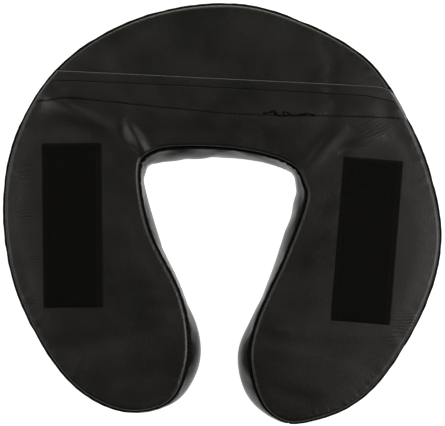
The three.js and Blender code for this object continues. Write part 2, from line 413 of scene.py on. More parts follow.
# Creases in the back: path, height (negative for a valley), and half width on the path's left and right.
CREASES = [
    ([(-52, 34), (-61.5, 46.8), (-70, 58)], 1.9, 5.0, 3.2),
    ([(-54.5, 31), (-62.4, 37.7), (-71, 45)], -0.8, 1.2, 1.2),
    ([(-70, 50), (-88.9, 55.2), (-107.5, 62), (-124, 68)], 2.4, 8.5, 4.6),
    ([(-127, 68.4), (-112, 70.6), (-92, 71.4)], 0.3, 1.4, 1.6),
    ([(50, 24), (58, 36), (65, 46), (82, 61)], 0.85, 4.5, 5.5),
    ([(77, 45), (90, 51), (106, 56)], 0.8, 2.6, 3.4),
    ([(74, 40), (82, 45), (92, 48)], -0.4, 1.4, 1.4),
    ([(-24, -66), (-36, -72), (-50, -74)], 0.3, 3.0, 2.4),
    ([(27, -74), (40, -78), (54, -78)], 0.3, 2.4, 3.0),
]


def crease_relief(plan):
    """The ridges and valleys along CREASES."""
    relief = np.zeros(len(plan))
    for path, height, left, right in CREASES:
        line = open_spline(path, 120)
        width = max(left, right)
        low, high = line.min(0) - 3 * width, line.max(0) + 3 * width
        near = np.flatnonzero(((plan > low) & (plan < high)).all(1))
        if not len(near):
            continue
        distance, number = nearest_on(line, plan[near])
        along = unit(np.gradient(line, axis=0))
        gap = plan[near] - line[number]
        across = (along[number, 0] * gap[:, 1] - along[number, 1] * gap[:, 0])
        share = number / (len(line) - 1)
        beyond = np.sqrt(np.maximum(distance**2 - across**2, 0))
        taper = np.sin(math.pi * share) * np.exp(-(beyond / width) ** 2)
        relief[near] += taper * height * bell(across, 0, np.where(across > 0, left, right))
    return relief


def line_y(line, x):
    """y of a line that crosses the cushion, at x."""
    smooth = open_spline(line, 200)
    return np.interp(x, smooth[:, 0], smooth[:, 1])


LAP_LIFT = 2.6  # the lap's upper side above the cap panel's
LAP_RAMP = 24.0  # over how much of the panel the rise to it is spread
HEM_RADIUS, HEM_REACH = 1.1, 0.8  # how far the folded edge rounds down, and how far along the panel
HEM_ROWS, HEM_TURN = 12, 4.0  # rows round the fold, and how far its underside runs back
GROOVE = 0.16  # how far the stitch lines pull the lap in
PILLOW, HEM_PILLOW, RIPPLE = 0.30, 0.20, 0.10  # how the lap swells and ripples between its stitch lines


def lap_relief(plan, distance):
    """How the hemmed lap stands above the cover, with its two stitch lines pulled in."""
    x, y = plan.T
    fold, upper, lower = (line_y(line, x) for line in (FOLD_LINE, UPPER_STITCH, LOWER_STITCH))
    rise = ease((y - lower + LAP_RAMP - 2) / LAP_RAMP)
    uneven = 1 + 0.18 * np.sin(x / 6.1) + 0.14 * np.sin(x / 2.9 + 1.3)
    pull = uneven + 0.2 * np.sin(x * 2 * math.pi / STITCH_PITCH)
    stitched = GROOVE * pull * (bell(y, upper, 0.5) + 1.2 * bell(y, lower, 0.55))
    pillow = PILLOW * bell(y, (upper + lower) / 2, 5) + HEM_PILLOW * bell(y, (upper + fold) / 2, 2)
    ripple = RIPPLE * np.sin(x / 4.3 + np.sin(x / 17)) * bell(y, (upper + lower) / 2, 4.5)
    return ease(distance / 2.4 + 0.25) * rise * (LAP_LIFT + pillow + ripple) - stitched


# -------- panels

EDGE_INSET = 1.15  # where a panel's plan mesh starts, inside the seam line
ROW_INSETS = [0.35, 0.8, 1.3, 1.9, 2.7, 3.8]
PANEL_SPACING = 1.6
# Rows that turn a panel's edge into the seam: how far out over the edge, and their share of the way there
BACK_LIP = [(0.10, 0.14), (0.20, 0.3), (0.32, 0.5), (0.42, 0.7), (0.45, 0.86), (-1.6, 1)]
FACE_LIP = [(0.26, 0.2), (0.40, 0.4), (0.48, 0.6), (0.48, 0.78), (0.2, 0.9), (-2.0, 1)]
LIP_DEPTH = 0.8  # how far the lips go in beyond the seam's height
PUFF_TRUST = 0.33  # the simulated surface's share in the back's height, away from the seam
PUFF_MARGIN, PUFF_BLEND, FACE_BLEND = 1.5, 16, 6  # where that share starts, and over how much it grows
CAP_DIP, CAP_EDGE_DIP, CAP_DIP_REACH = 0.3, 1.4, 7  # how far the lap presses the cap in, more at its ends


def add_rows(points, faces, edge, rows, closed):
    """Adds rows of points to a mesh, each joined to the one before it, the first to the points in edge."""
    before = list(edge)
    for row in rows:
        start = len(points)
        points = np.vstack([points, row])
        now = list(range(start, start + len(row)))
        count = len(row) if closed else len(row) - 1
        for i in range(count):
            j = (i + 1) % len(row)
            faces.append([before[i], before[j], now[j], now[i]])
        before = now
    return points, faces


def inset_ring(inset):
    """A ring of FINE_SAMPLES along the seam line, moved inwards."""
    ring = Ring(FINE_SAMPLES)
    ring.points = ring.points - ring.normals * inset
    return ring


def lip_rows(points, edge, out, lip, end_z, wrap=0):
    """The rows of a lip from edge points to the height end_z, up to wrap further out on the way."""
    base = points[edge]
    rows = []
    for over, share in lip:
        reach = over + wrap * math.sin(math.pi * min(share / 1.4, 1))
        z = base[:, 2] + (end_z - base[:, 2]) * share
        rows.append(np.column_stack([base[:, :2] + out * np.reshape(reach, (-1, 1)), z]))
    return rows


# Where the back panel rolls out over its seam and hides it: places on the seam line, and how far it goes
ROLLED = [(2.5, 3.0, 1.5), (6.1, 9.5, 1.3)]


def rolled_over(plan):
    """How far the back panel's edge goes out over the seam at each edge point."""
    places = FINE.places[seam_distance(plan)[1]]
    return sum(much * ease((places - start) / 0.12) * ease((end - places) / 0.12)
               for start, end, much in ROLLED)


def back_height(plan):
    """The back's height over plan points without the lap, and each point's distance to the seam."""
    distance, number = seam_distance(plan)
    missing = BACK_SEAM_Z + back_rise(distance)
    height = dropped(COVER, plan, -1, missing)
    # near the seam the simulated surface is too coarse, so its edge follows the crown
    trust = PUFF_TRUST * ease((distance - PUFF_MARGIN) / PUFF_BLEND)
    height = height * trust + missing * (1 - trust)
    height += seam_relief(distance, FINE.places[number]) + crease_relief(plan) * ease(distance / 3)
    return height, distance


def back_panel(material):
    """The lower back panel with its hemmed lap."""
    ring = inset_ring(EDGE_INSET)
    hem_line = [(x, y - HEM_REACH) for x, y in FOLD_LINE]
    boundary = clipped_outline(ring, True, hem_line)
    across = np.linspace(-149, 149, 270)
    lines = [np.column_stack([across, line_y(line, across)]) for line in (UPPER_STITCH, LOWER_STITCH)]
    plan, faces = plan_mesh(boundary, PANEL_SPACING, ROW_INSETS, lines)
    height, distance = back_height(plan)
    height += lap_relief(plan, distance)
    points = np.column_stack([plan, height])
    faces = facing(points, faces, True)
    on_hem = np.abs(boundary[:, 1] - line_y(hem_line, boundary[:, 0])) < 0.2
    seam_edge = [int(i) for i in np.flatnonzero(~on_hem)]
    hem_edge = [seam_edge[-1], *[int(i) for i in np.flatnonzero(on_hem)], seam_edge[0]]
    out = ring.normals[nearest_on(ring.points, plan[seam_edge])[1]]
    wrap = rolled_over(plan[seam_edge])
    lips = lip_rows(points, seam_edge, out, BACK_LIP, BACK_SEAM_Z - LIP_DEPTH, wrap)
    points, faces = add_rows(points, faces, seam_edge, lips, False)
    hem = points[hem_edge]
    rows = []
    for angle in np.linspace(math.pi / HEM_ROWS, math.pi, HEM_ROWS):
        rows.append(hem + [0, HEM_REACH * math.sin(angle), -HEM_RADIUS * (1 - math.cos(angle))])
    rows.append(rows[-1] + [0, -HEM_TURN, 0])
    points, faces = add_rows(points, faces, hem_edge, rows, False)
    return make_object("back_panel_leather", points, faces, material)


def cap_panel(material):
    """The upper back panel, which runs in under the lap."""
    ring = inset_ring(EDGE_INSET)
    boundary = clipped_outline(ring, False, [(-150, CAP_TUCK_Y), (150, CAP_TUCK_Y)])
    plan, faces = plan_mesh(boundary, PANEL_SPACING, ROW_INSETS)
    height, distance = back_height(plan)
    under = ease((line_y(FOLD_LINE, plan[:, 0]) + 1.5 - plan[:, 1]) / 2)
    height -= under * (CAP_DIP + CAP_EDGE_DIP * (1 - ease(distance / CAP_DIP_REACH)))
    points = np.column_stack([plan, height])
    faces = facing(points, faces, True)
    seam_edge = [int(i) for i in np.flatnonzero(boundary[:, 1] > CAP_TUCK_Y + 0.2)]
    out = ring.normals[nearest_on(ring.points, plan[seam_edge])[1]]
    lips = lip_rows(points, seam_edge, out, BACK_LIP, BACK_SEAM_Z - LIP_DEPTH)
    points, faces = add_rows(points, faces, seam_edge, lips, False)
    return make_object("back_cap_leather", points, faces, material)


def face_panel(material):
    """The face side, which the cushion lies on."""
    ring = inset_ring(EDGE_INSET / 2)
    plan, faces = plan_mesh(ring.points, PANEL_SPACING * 1.3, ROW_INSETS)
    distance, number = seam_distance(plan)
    missing = FACE_SEAM_Z - crown_height(distance, FACE_SEAM_Z, FACE_REACH)
    trust = ease((distance - PUFF_MARGIN) / FACE_BLEND)
    height = dropped(COVER, plan, 1, missing) * trust + missing * (1 - trust)
    height = np.maximum(height - seam_relief(distance, FINE.places[number]), 0)
    points = np.column_stack([plan, height])
    faces = facing(points, faces, False)
    edge = list(range(len(ring.points)))
    lips = lip_rows(points, edge, ring.normals, FACE_LIP, FACE_SEAM_Z + LIP_DEPTH)
    points, faces = add_rows(points, faces, edge, lips, True)
    return make_object("face_panel_leather", points, faces, material)


BOXING_SAMPLES = 800
BOXING_LEVELS = 44
CORNERS = [(19.4, 1.0), (24.2, 1.5)]  # places where the boxing bunches in the opening, and how much
ALLOWANCE = 4.5  # how far the boxing goes in between the panel and the foam
SHOULDER = 0.6  # how far more the boxing stands out beside its seams
TURNED_IN, TURN_REACH = 1.7, 0.6  # how far its edges turn in at the seams, and over how much of its height
BOXING_DROP, BOXING_EXTRA = 0.25, 0.05  # how far it starts below the face seam, and its extra height
GATHER, FOLD_DEPTH, FOLD_PITCH = 0.12, 0.55, 4.6  # its puckers, and its folds where it bunches
TIP_TUCK = 0.9  # how far its ends go in at the tip seams
RAY_START, RAY_LENGTH = 14.0, 26.0  # how far outside the seam line a ray to the cover starts, and its length


def boxing_strip(name, start, end, material):
    """One strip of boxing between two places on the seam line, puckered where it turns a corner."""
    ring = Ring(BOXING_SAMPLES)
    size = len(SEAM_POINTS)
    overlap = 2.5 * size / BOXING_SAMPLES  # the ends reach past each other, so that the seam has no gap
    span = (end - start) % size + 2 * overlap
    from_start = (ring.places - start + overlap) % size
    order = np.flatnonzero(from_start <= span)
    order = order[np.argsort(from_start[order])]
    p, n, places = ring.points[order], ring.normals[order], ring.places[order]
    run = np.arange(len(order)) * ring.step
    to_end = np.minimum(run, run[-1] - run)
    bunch = sum(much * bell(places, place, 0.8) for place, much in CORNERS)
    height = BACK_SEAM_Z - FACE_SEAM_Z
    levels = (1 - np.cos(np.linspace(0, math.pi, BOXING_LEVELS))) / 2
    rows = []
    for level in levels:
        z = FACE_SEAM_Z - BOXING_DROP + (height + BOXING_EXTRA) * level
        bulge = ring.bulges[order] * math.sin(math.pi * level)
        seat = np.array([hit_out(q, m, z, b) for q, m, b in zip(p, n, bulge)])
        to_seam = min(level, 1 - level) * height
        seat = seat * ease(to_seam / 5) + bulge * (1 - ease(to_seam / 5))
        turned_in = TURNED_IN * math.exp(-(to_seam / TURN_REACH) ** 2)
        gather = GATHER * np.sin(run * 2 * math.pi / PUCKER_PITCH + 3 * level) * math.exp(-to_seam / 6)
        folds = np.sin(run * 2 * math.pi / FOLD_PITCH + 1.5 * level) * math.exp(-to_seam / 9)
        folds = folds * bunch * FOLD_DEPTH
        out = seat + SHOULDER * math.exp(-to_seam / 8) - turned_in + gather * (1 + 2 * bunch) + folds
        out = out - TIP_TUCK * bell(to_end, 0, 0.9)
        rows.append(np.column_stack([p + n * out[:, None], np.full(len(order), z)]))
    rows = [rows[0] - turned_under(n), *rows, rows[-1] - turned_under(n)]
    points, faces = add_rows(rows[0], [], range(len(order)), rows[1:], False)
    return make_object(name, points, faces, material)


def turned_under(normals):
    """The way from the boxing's edge in to the end of its seam allowance."""
    return np.column_stack([normals * ALLOWANCE, np.zeros(len(normals))])


def hit_out(point, normal, z, missing):
    """How far outside the seam line the simulated cover stands at a height."""
    start = Vector((*(point + normal * RAY_START), z))
    hit = COVER.ray_cast(start, Vector((*-normal, 0)), RAY_LENGTH)[0]
    return missing if hit is None else RAY_START - (Vector(hit) - start).length


# -------- threads

def stitches(name, path, out, material, pitch=STITCH_PITCH, share=0.86, radius=0.3, lift=0.0, sink=0.5):
    """A row of single stitches along a path, each rising out of one hole and into the next."""
    run = run_along(path)
    points, faces = [], []
    sides, steps = 6, 5
    arch = np.sin(np.linspace(0, math.pi, steps)) ** 0.6
    for number in range(int(run[-1] / pitch)):
        at = (number + (1 - share) / 2 + share * np.arange(steps) / (steps - 1)) * pitch
        middle = np.stack([np.interp(at, run, path[:, k]) for k in range(3)], axis=1)
        normal = unit(np.stack([np.interp(at, run, out[:, k]) for k in range(3)], axis=1))
        middle = middle + normal * (lift * arch - sink * (1 - arch))[:, None]
        side = np.cross(unit(np.gradient(middle, axis=0)), normal)
        first = len(points)
        for k in range(steps):
            for turn in range(sides):
                angle = turn / sides * 2 * math.pi
                out_to = math.cos(angle) * side[k] + math.sin(angle) * normal[k]
                points.append(middle[k] + radius * out_to)
        for k in range(steps - 1):
            for turn in range(sides):
                a, b = first + k * sides + turn, first + k * sides + (turn + 1) % sides
                faces.append([a, b, b + sides, a + sides])
        faces.append([first + turn for turn in reversed(range(sides))])
        faces.append([first + (steps - 1) * sides + turn for turn in range(sides)])
    return make_object(name, np.array(points), faces, material)


def tree_of(obj):
    """A surface for rays, in millimetres."""
    return BVHTree.FromPolygons(
        [v.co / MM for v in obj.data.vertices], [p.vertices[:] for p in obj.data.polygons])


def lap_stitches(name, line, tree, material):
    """A stitch line across the lap, from seam to seam."""
    across = open_spline(line, 700)
    keep = inside(FINE.points, across) & (seam_distance(across)[0] > 2.0)
    plan = across[keep]
    z = dropped(tree, plan, -1, LAP_TOP_Z)
    z = np.convolve(np.pad(z, 4, mode="edge"), np.ones(9) / 9, mode="valid")  # mean over nine samples
    return stitches(name, np.column_stack([plan, z]), upwards(plan), material, share=0.98, sink=0.2)


def upwards(plan):
    """A vertical unit vector for each plan point."""
    return np.tile([0.0, 0.0, 1.0], (len(plan), 1))


# Where the lower line was sewn back over itself: the wandering doubled thread, and a loose end
BACKTACK = [
    [(22.9, 66.4), (28, 66.9), (30.2, 68.5), (32.8, 66), (35.8, 65), (37.4, 67.9), (39.6, 67.3),
     (42.5, 65.8), (46.5, 66.4), (51.1, 67.4), (58, 67)],
    [(30, 67.6), (33, 65.1), (41, 65.6), (52, 66.4)],
]


def backtack(tree, material):
    """The doubled thread on the lower line, right of the middle."""
    made = []
    for number, path in enumerate(BACKTACK):
        plan = open_spline(path, 80)
        length = run_along(plan)[-1]
        z = dropped(tree, plan, -1, LAP_TOP_Z)
        pitch = length / round(length / 4) - 0.01  # about 4 mm, and a whole number of stitches
        made.append(stitches(f"tack{number}", np.column_stack([plan, z]), upwards(plan), material,
                             pitch=pitch, share=0.98, lift=0.2, radius=0.6))
    return joined("lap_backtack_thread", made)


def joined(name, objects):
    """Several mesh objects as one."""
    with bpy.context.temp_override(
            active_object=objects[0], selected_editable_objects=objects, selected_objects=objects):
        bpy.ops.object.join()
    objects[0].name = objects[0].data.name = name
    return objects[0]


def seam_stitches(name, z, material):
    """The stitches that show in the groove of a seam all round."""
    ring = inset_ring(0.1)
    closed = np.vstack([ring.points, ring.points[:1]])
    normals = np.vstack([ring.normals, ring.normals[:1]])
    path = np.column_stack([closed, np.full(len(closed), z)])
    out = np.column_stack([normals, np.zeros(len(closed))])
    return stitches(name, path, out, material, share=0.85, lift=0.1, sink=0.3)


def tip_stitches(name, place, material):
    """The stitches up the seam between the two boxing strips at an arm tip."""
    ring = Ring(BOXING_SAMPLES)
    i = int(np.abs(ring.places - place).argmin())
    z = np.linspace(FACE_SEAM_Z + 2, BACK_SEAM_Z - 2, 40)
    p, n = ring.points[i], ring.normals[i]
    path = np.array([[*(p + n * (hit_out(p, n, h, 3.0) - 0.5)), h] for h in z])
    out = np.tile([*n, 0.0], (len(z), 1))
    return stitches(name, path, out, material, pitch=3.4, share=0.8, radius=0.28, lift=0.15)


# -------- tapes and hook strips

def turned(place, u, v, lean):
    """Plan points at (u, v) from a place, in axes that lean by an angle in degrees."""
    turn = math.radians(lean)
    return np.column_stack([place[0] + u * math.cos(turn) - v * math.sin(turn),
                            place[1] + u * math.sin(turn) + v * math.cos(turn)])


def strip_place(side):
    """The middle of a hook strip's CAD node, seen from above."""
    low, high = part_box(f"{side}_hook_strip")
    return (low.x + high.x) / 2 / MM, (low.y + high.y) / 2 / MM


def slab_on(name, tree, place, size, lean, top, bottom, material, spacing=0.7):
    """A flat piece that lies along a surface: top and bottom give its height over it at (u, v)."""
    width, length = size
    us = np.linspace(-width / 2, width / 2, int(width / spacing) + 1)
    vs = np.linspace(-length / 2, length / 2, int(length / spacing) + 1)
    u, v = (g.ravel() for g in np.meshgrid(us, vs))
    plan = turned(place, u, v, lean)
    ground = dropped(tree, plan, -1, BACK_TOP_Z)
    upper = np.column_stack([plan, ground + top(u, v)])
    lower = np.column_stack([plan, ground + bottom])
    across, total = len(us), len(u)
    faces = []
    for row in range(len(vs) - 1):
        for column in range(across - 1):
            a = row * across + column
            quad = [a, a + 1, a + 1 + across, a + across]
            faces += [quad, [total + i for i in reversed(quad)]]
    rim = (list(range(across)) + [r * across + across - 1 for r in range(1, len(vs))]
           + list(range(total - 2, total - across - 1, -1))
           + [r * across for r in range(len(vs) - 2, 0, -1)])
    for a, b in zip(rim, rim[1:] + rim[:1]):
        faces.append([b, a, total + a, total + b])
    return make_object(name, np.vstack([upper, lower]), faces, material)


STRIP_BORDER, STRIP_MARGIN = 2.6, 1.5  # the hookless border, and the stitches' distance from the edge
STRIP_BASE, HOOK_RISE = 0.95, 0.35  # the woven base's height, and the hooks' mean rise over it


def hook_field(width, length):
    """Height of a hook tape over its seat: a flat woven border and a field of small hooks in rows."""
    draw = np.random.default_rng(7)

    def top(u, v):
        inset = np.minimum(width / 2 - np.abs(u), length / 2 - np.abs(v) + 2.0)
        field = ease((inset - STRIP_BORDER) / 0.8)
        hooks = 0.45 * (np.arange(len(u)) % 2) + draw.uniform(-0.22, 0.22, len(u))
        edge = 0.25 * ease((0.8 - inset) / 0.8)
        return STRIP_BASE - edge + field * (HOOK_RISE + hooks)

    return top


def hook_strip(side, lean, tree, material):
    """A hook strip on one arm, in its CAD node's place."""
    return slab_on(f"{side}_hook_tape", tree, strip_place(side), (STRIP_WIDTH, STRIP_LENGTH), lean,
                   hook_field(STRIP_WIDTH, STRIP_LENGTH), 0.05, material)


def strip_stitches(side, lean, tree, material):
    """The stitches round a hook strip's border."""
    w, h = STRIP_WIDTH / 2 - STRIP_MARGIN, STRIP_LENGTH / 2 - STRIP_MARGIN
    corners = np.array([(-w, -h), (w, -h), (w, h), (-w, h), (-w, -h)])
    rounds = np.vstack([np.linspace(a, b, 60, endpoint=False) for a, b in zip(corners, corners[1:])])
    plan = turned(strip_place(side), rounds[:, 0], rounds[:, 1], lean)
    z = dropped(tree, plan, -1, BACK_TOP_Z)
    return stitches(f"{side}_strip_thread", np.column_stack([plan, z]), upwards(plan), material,
                    pitch=3.0, radius=0.2)


# -------- materials

def node_material(name):
    """A node material, its tree and its Principled shader."""
    material = bpy.data.materials.new(name)
    material.use_nodes = True
    return material, material.node_tree, material.node_tree.nodes["Principled BSDF"]


def node(tree, kind, **settings):
    """A new node, with its sockets by name or its properties set."""
    made = tree.nodes.new(kind)
    for key, value in settings.items():
        if hasattr(made, key):
            setattr(made, key, value)
        else:
            made.inputs[key.replace("_", " ")].default_value = value
    return made


def millimetres(tree, stretch=(1, 1, 1)):
    """Object coordinates in millimetres, as a socket."""
    coordinates = node(tree, "ShaderNodeTexCoord")
    scale = node(tree, "ShaderNodeVectorMath", operation="MULTIPLY")
    scale.inputs[1].default_value = [s / MM for s in stretch]
    tree.links.new(coordinates.outputs["Object"], scale.inputs[0])
    return scale.outputs[0]


def texture(tree, kind, at, **settings):
    """The output sockets of a texture node that is looked up at a place."""
    made = node(tree, f"ShaderNodeTex{kind}", **settings)
    tree.links.new(at, made.inputs["Vector"])
    return made.outputs


def noise(tree, at, size, detail=2.0, roughness=0.5):
    """Noise with blobs about size millimetres across, as a socket from 0 to 1."""
    return texture(tree, "Noise", at, Scale=1 / size, Detail=detail, Roughness=roughness)["Fac"]


def ranged(tree, value, low, high, from_low=0.0, from_high=1.0):
    """A value stretched to run from low to high."""
    made = node(tree, "ShaderNodeMapRange")
    for socket, number in zip(("From Min", "From Max", "To Min", "To Max"), (from_low, from_high, low, high)):
        made.inputs[socket].default_value = number
    tree.links.new(value, made.inputs["Value"])
    return made.outputs["Result"]


def combined(tree, operation, first, second):
    """Two values added or multiplied."""
    made = node(tree, "ShaderNodeMath", operation=operation)
    tree.links.new(first, made.inputs[0])
    tree.links.new(second, made.inputs[1])
    return made.outputs[0]


def mixed_colour(tree, share, dark, light):
    """A colour between dark and light."""
    made = node(tree, "ShaderNodeMix", data_type="RGBA")
    made.inputs[6].default_value = (*dark, 1)
    made.inputs[7].default_value = (*light, 1)
    tree.links.new(share, made.inputs[0])
    return made.outputs[2]


def bump(tree, height, distance, before=None):
    """A bump of the given height in millimetres, on top of an earlier one."""
    made = node(tree, "ShaderNodeBump", Strength=1.0, Distance=distance * MM)
    tree.links.new(height, made.inputs["Height"])
    if before:
        tree.links.new(before, made.inputs["Normal"])
    return made.outputs["Normal"]


# Where the leather is slack and finely wrinkled: x, y, reach, and the wrinkles' direction in degrees
SLACK = [(-134, 19, 11, 3), (-133, -10, 9, 3), (-123, -37, 6, 3), (-125, -67, 6, 3),
         (96, 58, 15, 30), (128, -68, 12, 3), (117, -79, 7, 3)]


def slack_wrinkles(tree, at):
    """Fine parallel wrinkles near the slack places, as a socket from 0 to 1."""
    total = None
    for x, y, reach, turn in SLACK:
        gap = node(tree, "ShaderNodeVectorMath", operation="DISTANCE")
        gap.inputs[1].default_value = (x, y, BACK_TOP_Z)
        tree.links.new(at, gap.inputs[0])
        near = ranged(tree, gap.outputs["Value"], 1, 0, 0.3 * reach, reach)
        aligned = node(tree, "ShaderNodeMapping")
        aligned.inputs["Rotation"].default_value = (0, 0, math.radians(-turn))
        tree.links.new(at, aligned.inputs["Vector"])
        wave = texture(tree, "Wave", aligned.outputs[0], bands_direction="Y", Scale=0.14,
                       Distortion=6.0, Detail=2.0, Detail_Scale=0.7)
        here = combined(tree, "MULTIPLY", wave["Fac"], near)
        total = combined(tree, "ADD", total, here) if total else here
    return total


def leatherette(name, shaded_z=None, lit_z=None, shine=0.5):
    """Black grained leatherette: pebble grain, fine wrinkles, and handled patches that are smoother.

    Where the two heights are given, its shine is nothing at the first and full at the second. This is painted
    shade, standing in for the shadow along the back seam.
    """
    material, tree, shader = node_material(name)
    at = millimetres(tree)
    warp = node(tree, "ShaderNodeVectorMath", operation="ADD")
    tree.links.new(at, warp.inputs[0])
    tree.links.new(texture(tree, "Noise", at, Scale=1 / 2.5, Detail=1.0)["Color"], warp.inputs[1])
    cells = texture(tree, "Voronoi", warp.outputs[0], feature="DISTANCE_TO_EDGE", Scale=1 / 1.1,
                    Randomness=0.9)
    pebble = ranged(tree, cells["Distance"], 0, 1, 0, 0.25)
    fine = noise(tree, at, 0.35, 3.0)
    wrinkle = noise(tree, millimetres(tree, (0.35, 1, 1)), 2.2, 4.0, 0.62)
    patches = noise(tree, at, 28, 3.0)
    colour = mixed_colour(tree, pebble, (0.0034, 0.0034, 0.0027), (0.0055, 0.0055, 0.0044))
    tree.links.new(colour, shader.inputs["Base Color"])
    tree.links.new(ranged(tree, patches, 0.30, 0.40, 0.3, 0.7), shader.inputs["Roughness"])
    normal = bump(tree, wrinkle, 0.07)
    normal = bump(tree, slack_wrinkles(tree, at), 0.10, normal)
    normal = bump(tree, pebble, 0.030, normal)
    normal = bump(tree, fine, 0.02, normal)
    tree.links.new(normal, shader.inputs["Normal"])
    if shaded_z is None:
        shader.inputs["Specular IOR Level"].default_value = shine
        return material
    # painted shade: the reflection fades out towards the first height, in place of the shadow at the back
    # seam
    split = node(tree, "ShaderNodeSeparateXYZ")
    tree.links.new(at, split.inputs[0])
    low, high, at_low, at_high = (lit_z, shaded_z, shine, 0.0) if lit_z < shaded_z else (shaded_z, lit_z, 0.0, shine)
    tree.links.new(ranged(tree, split.outputs["Z"], at_low, at_high, low, high),
                   shader.inputs["Specular IOR Level"])
    return material


def finished(material, tree, shader, colour, roughness, normal, **others):
    """The material with its colour, roughness, bump and any other constant values set."""
    tree.links.new(colour, shader.inputs["Base Color"])
    tree.links.new(normal, shader.inputs["Normal"])
    for name, value in dict(Roughness=roughness, **others).items():
        shader.inputs[name.replace("_", " ")].default_value = value
    return material


def hook_nylon():
    """Matt black hook tape, a little dusty on its tips."""
    material, tree, shader = node_material("black_hook_nylon")
    at = millimetres(tree)
    dust = ranged(tree, noise(tree, at, 1.3, 3.0, 0.7), 0, 1, 0.45, 0.8)
    colour = mixed_colour(tree, dust, (0.0015, 0.0015, 0.0012), (0.0037, 0.0037, 0.0031))
    hooks = bump(tree, noise(tree, at, 0.3, 2.0), 0.08)
    return finished(material, tree, shader, colour, 0.85, hooks, Specular_IOR_Level=0.12)


def loop_pile():
    """Soft black loop tape."""
    material, tree, shader = node_material("black_loop_pile")
    at = millimetres(tree)
    fuzz = noise(tree, at, 0.4, 4.0, 0.7)
    colour = mixed_colour(tree, fuzz, (0.003, 0.003, 0.003), (0.012, 0.012, 0.012))
    return finished(material, tree, shader, colour, 0.95, bump(tree, fuzz, 0.3), Sheen_Weight=0.2)


def sewing_thread():
    """Black twisted polyester thread."""
    material, tree, shader = node_material("black_thread")
    at = millimetres(tree)
    twist = texture(tree, "Wave", at, bands_direction="DIAGONAL", Scale=1.6, Distortion=0.5)["Fac"]
    colour = mixed_colour(tree, twist, (0.0014, 0.0014, 0.0014), (0.004, 0.0038, 0.0037))
    return finished(material, tree, shader, colour, 0.7, bump(tree, twist, 0.08), Specular_IOR_Level=0.06)


def open_cell_foam():
    """Cream upholstery foam with small open cells."""
    material, tree, shader = node_material("cream_foam")
    at = millimetres(tree)
    cells = texture(tree, "Voronoi", at, Scale=1 / 0.9)
    colour = mixed_colour(tree, noise(tree, at, 20), (0.72, 0.66, 0.44), (0.80, 0.74, 0.55))
    return finished(material, tree, shader, colour, 0.95, bump(tree, cells["Distance"], 0.3))


LEATHER = leatherette("black_leatherette")
# Copies with painted shade: they lose their reflection near the back seam, standing in for the shadow of the
# panel's turned edge and of the boxing below it
BACK_LEATHER_PAINTED_SHADE = leatherette("black_leatherette_back_painted_shade", BACK_SEAM_Z + 2.4, BACK_SEAM_Z + 3.3)
INNER_LEATHER_PAINTED_SHADE = leatherette("black_leatherette_inner_painted_shade", BACK_SEAM_Z + 1, BACK_SEAM_Z - 20, 0.6)
OUTER_LEATHER_PAINTED_SHADE = leatherette("black_leatherette_outer_painted_shade", BACK_SEAM_Z - 4, BACK_SEAM_Z - 30)
HOOK, LOOP, THREAD, FOAM = hook_nylon(), loop_pile(), sewing_thread(), open_cell_foam()


# -------- the pieces

FOAM_INSET = 2.6  # between the foam and the simulated cover
LOOP_TAPE_Z, HOOK_TAPE_Z = (1.15, 1.9), (0.15, 0.9)  # the closure tapes' bottom and top over the cap panel


def foam_core():
    """The foam, a little smaller than the cover that it fills."""
    obj = make_object("foam_body", BALLOON_POINTS, BALLOON_FACES, FOAM)
    smooth = obj.modifiers.new("smooth", "SUBSURF")
    smooth.levels = smooth.render_levels = 1
    inset = obj.modifiers.new("inset", "DISPLACE")
    inset.mid_level = 0
    inset.strength = -FOAM_INSET * MM
    apply_modifiers(obj)
    return obj


def cut_outline(reach, rise):
    """The seam line as a flat panel has it, let out by what its round edge takes up."""
    arc = math.pi / 2 * math.sqrt((reach**2 + rise**2) / 2)
    return FINE.points + FINE.normals * (arc - reach)


def cut_from(outline):
    """The flat size of a panel cut to an outline: width and length in metres, and the area inside it."""
    width, length = (outline.max(0) - outline.min(0)) * MM
    x, y = outline.T * MM
    area = abs(np.dot(x, np.roll(y, -1)) - np.dot(y, np.roll(x, -1))) / 2
    return {"flat": (width, length), "area": area}


def cut_strip(start, end):
    """The flat size of the boxing strip from one tip seam round to the other."""
    turns = len(SEAM_POINTS)
    on_strip = (FINE.places - start) % turns < (end - start) % turns
    return {"flat": ((BACK_SEAM_Z - FACE_SEAM_Z + 2 * ALLOWANCE) * MM, on_strip.sum() * FINE.step * MM)}


def closure_tape(name, span, tree, material):
    """A closure tape between the cap panel and the lap."""
    low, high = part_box("closure_loop_tape")
    place = (0, (low.y + high.y) / 2 / MM)
    draw = np.random.default_rng(11)

    def top(u, v):
        return span[1] - 0.1 + draw.uniform(-0.08, 0.08, len(u))

    size = ((high.y - low.y) / MM - 4, (high.x - low.x) / MM)
    return slab_on(name, tree, place, size, 90, top, span[0], material, spacing=1.5)


def piece(obj, cad_node):
    """Puts a piece on the body, in place of a CAD node."""
    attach(obj, "root")
    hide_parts(cad_node)
    return obj


